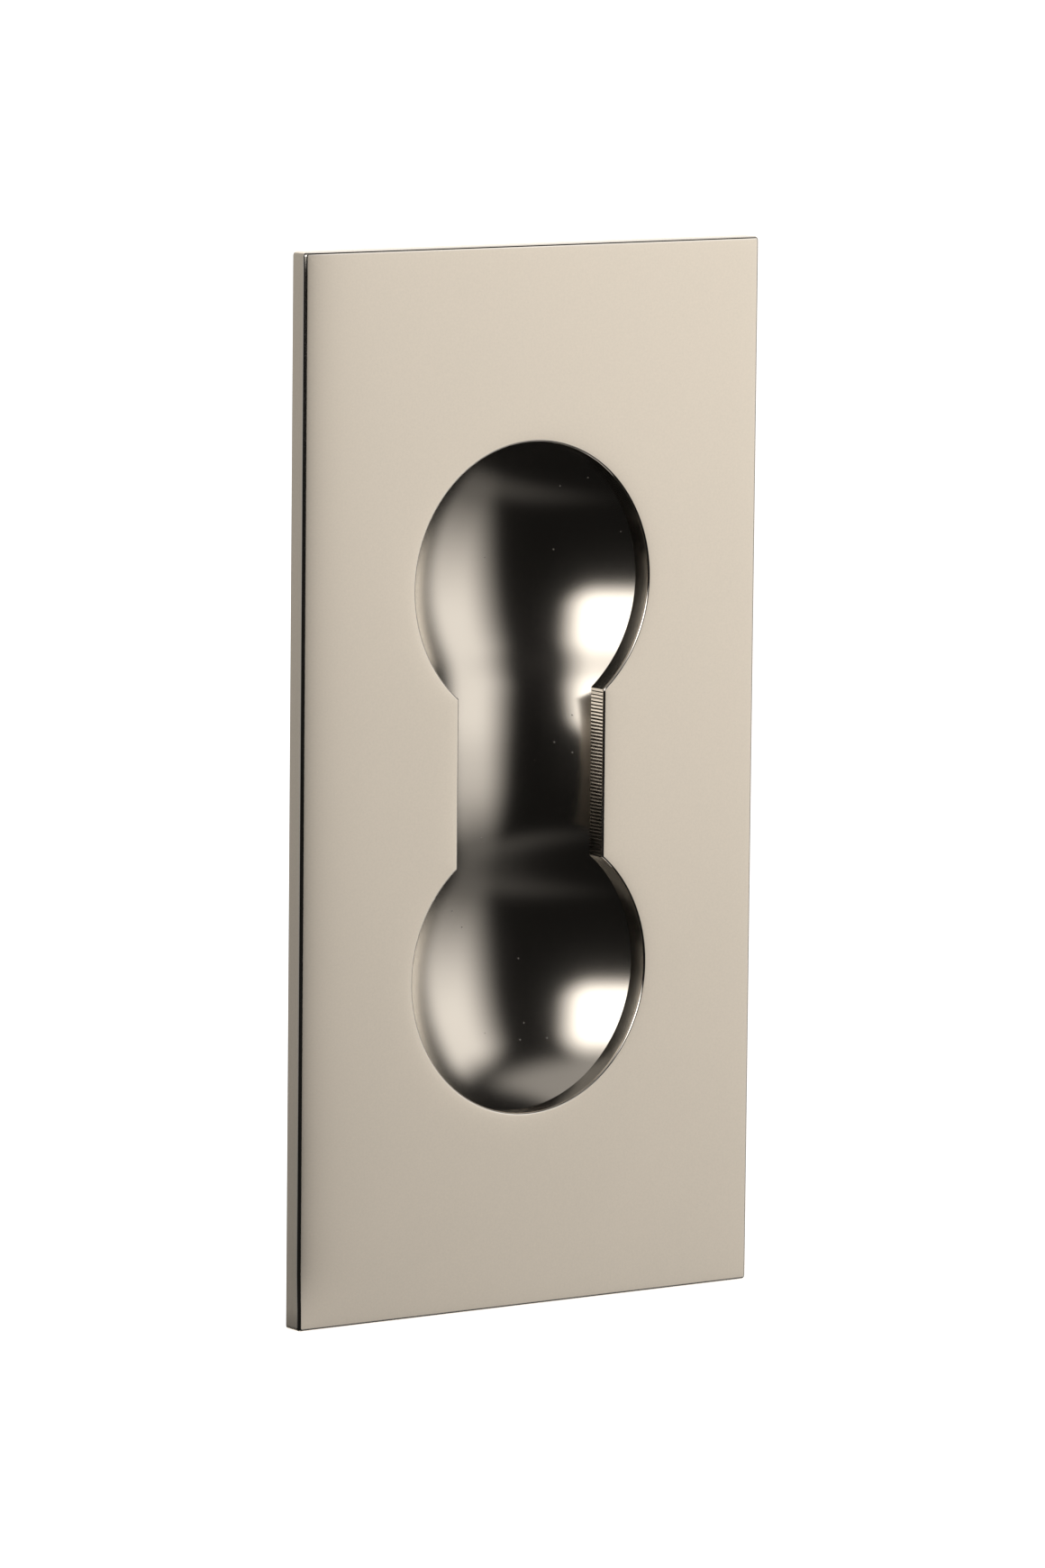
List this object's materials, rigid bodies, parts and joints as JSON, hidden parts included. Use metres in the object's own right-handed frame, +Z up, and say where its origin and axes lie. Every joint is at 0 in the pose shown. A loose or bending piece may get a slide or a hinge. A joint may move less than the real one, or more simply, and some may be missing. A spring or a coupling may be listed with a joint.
{
  "type": "pocket door pull",
  "caption": "Flush pull for a sliding pocket door: flat rectangular plate with a dumbbell cut-out over a smooth dished finger cup, held by rear studs.",
  "frame": {"origin": "centre of the plate's back, midway between the two fixing studs, in the plane that lies on the door", "axes": "+Z up along the plate's length, +Y into the door, +X across the plate; the dished front faces -Y"},
  "size_m": [0.0786, 0.0212, 0.1524],
  "materials": {
    "plate_nickel": "satin nickel plate on brass",
    "cup_nickel": "satin nickel plate on pressed brass",
    "stud_steel": "plain stainless"
  },
  "bodies": {
    "root": {"face_plate": "plate_nickel", "recess_cup": "cup_nickel", "upper_stud": "stud_steel", "lower_stud": "stud_steel"}
  },
  "joints": []
}
